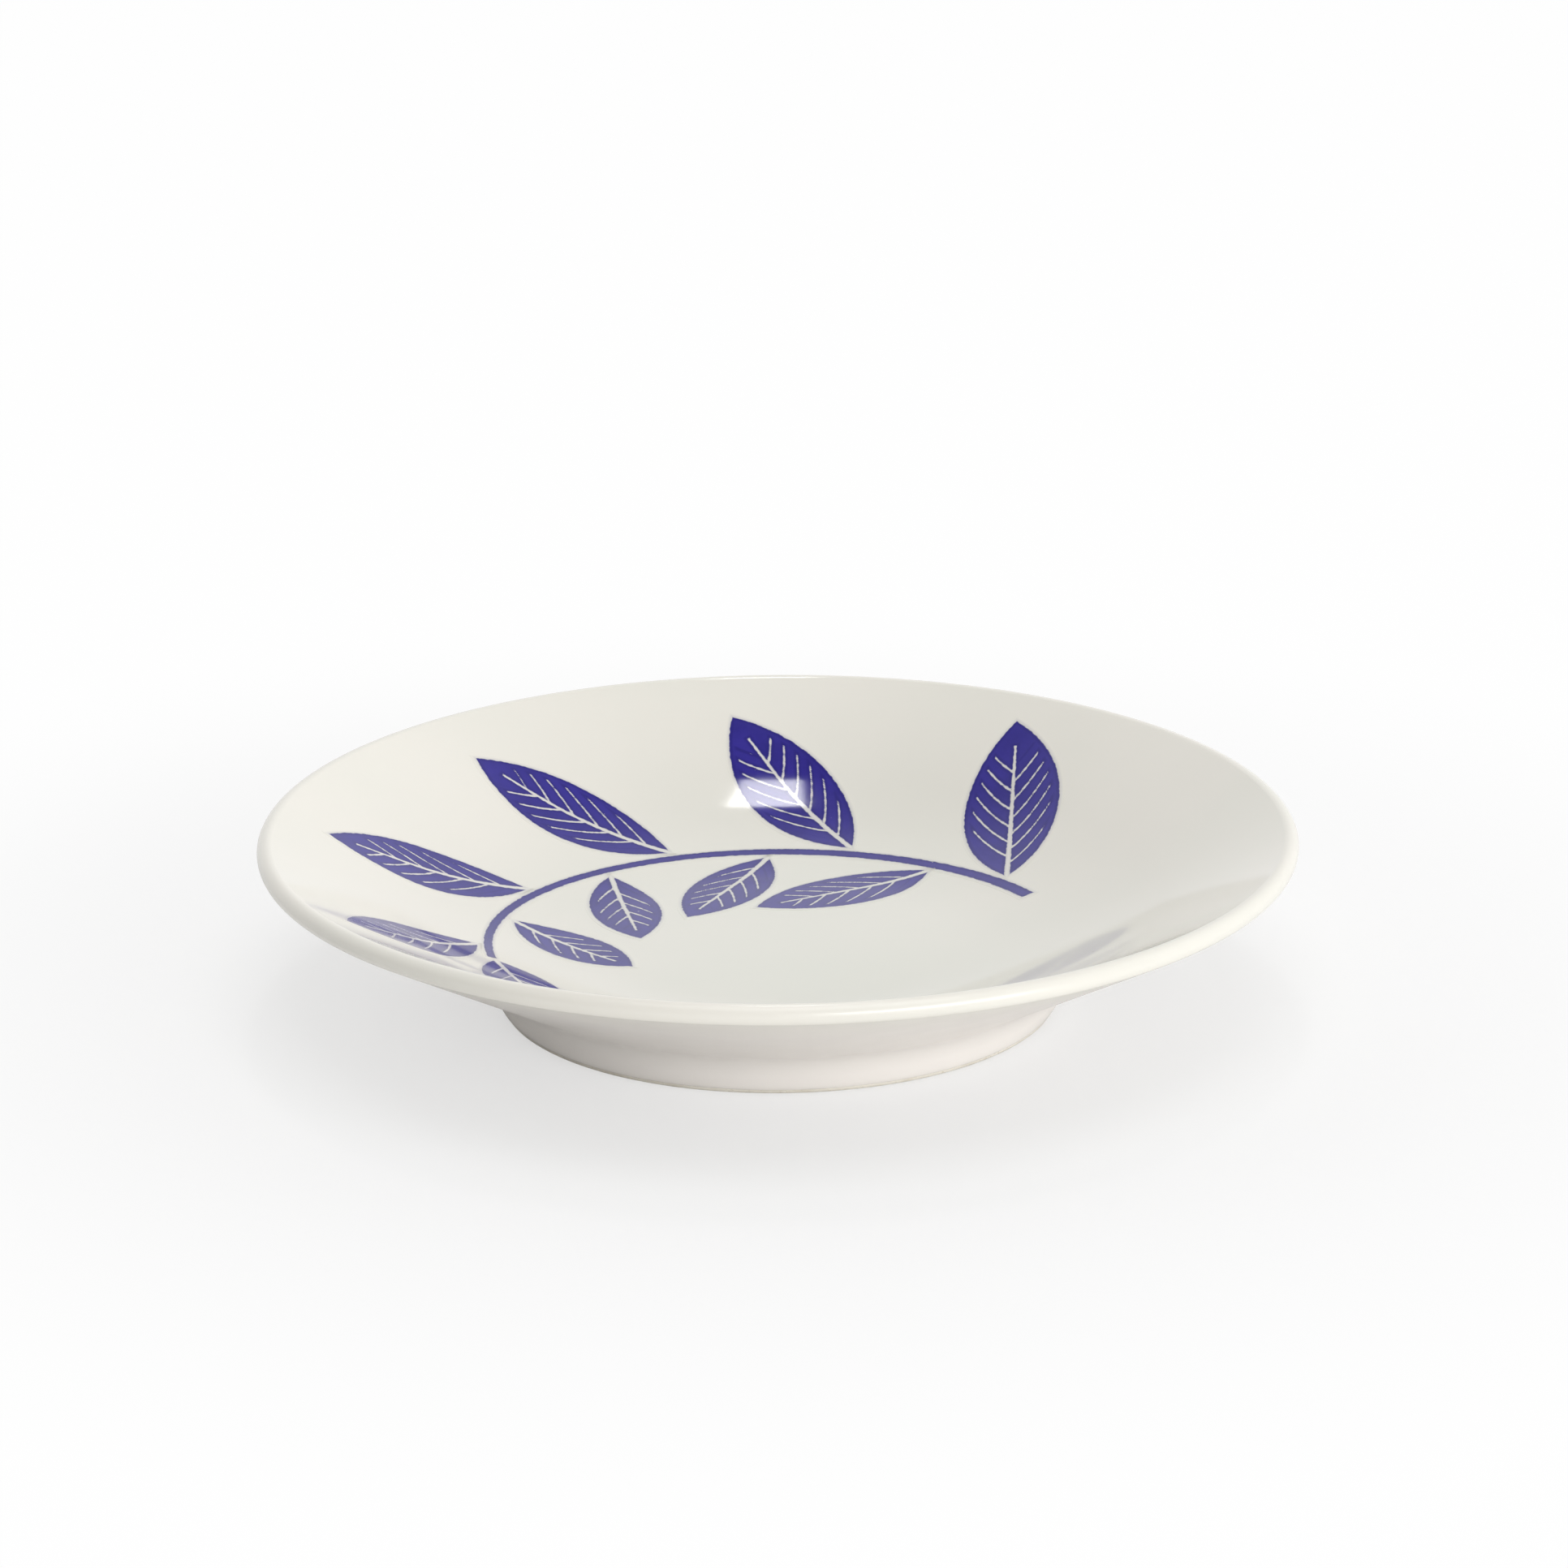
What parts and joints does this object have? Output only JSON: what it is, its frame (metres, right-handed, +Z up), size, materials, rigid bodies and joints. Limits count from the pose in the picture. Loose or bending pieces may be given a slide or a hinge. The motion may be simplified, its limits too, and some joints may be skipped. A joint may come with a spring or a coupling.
{
  "type": "soy sauce dish",
  "caption": "Shallow round porcelain dish with a flared wall, rounded lip and foot ring, glazed white with a blue leaf sprig in the well. It holds soy sauce or another dip.",
  "frame": {"origin": "middle of the foot ring, on the table that the dish stands on", "axes": "+Z up along the dish's axis, out of the well; -Y towards the side that the picture shows"},
  "size_m": [0.1, 0.1, 0.0171],
  "materials": {
    "porcelain": "matt, fired and unglazed",
    "glaze": "clear gloss over warm white",
    "cobalt_print": "cobalt blue fired into gloss glaze"
  },
  "bodies": {
    "root": {"porcelain_body": "porcelain", "foot_ring": "porcelain", "inner_glaze": "glaze", "outer_glaze": "glaze", "base_glaze": "glaze", "print_stem": "cobalt_print", "print_leaf_1": "cobalt_print", "print_leaf_2": "cobalt_print", "print_leaf_3": "cobalt_print", "print_leaf_4": "cobalt_print", "print_leaf_5": "cobalt_print", "print_leaf_6": "cobalt_print", "print_leaf_7": "cobalt_print", "print_leaf_8": "cobalt_print", "print_leaf_9": "cobalt_print", "print_leaf_10": "cobalt_print"}
  },
  "joints": []
}
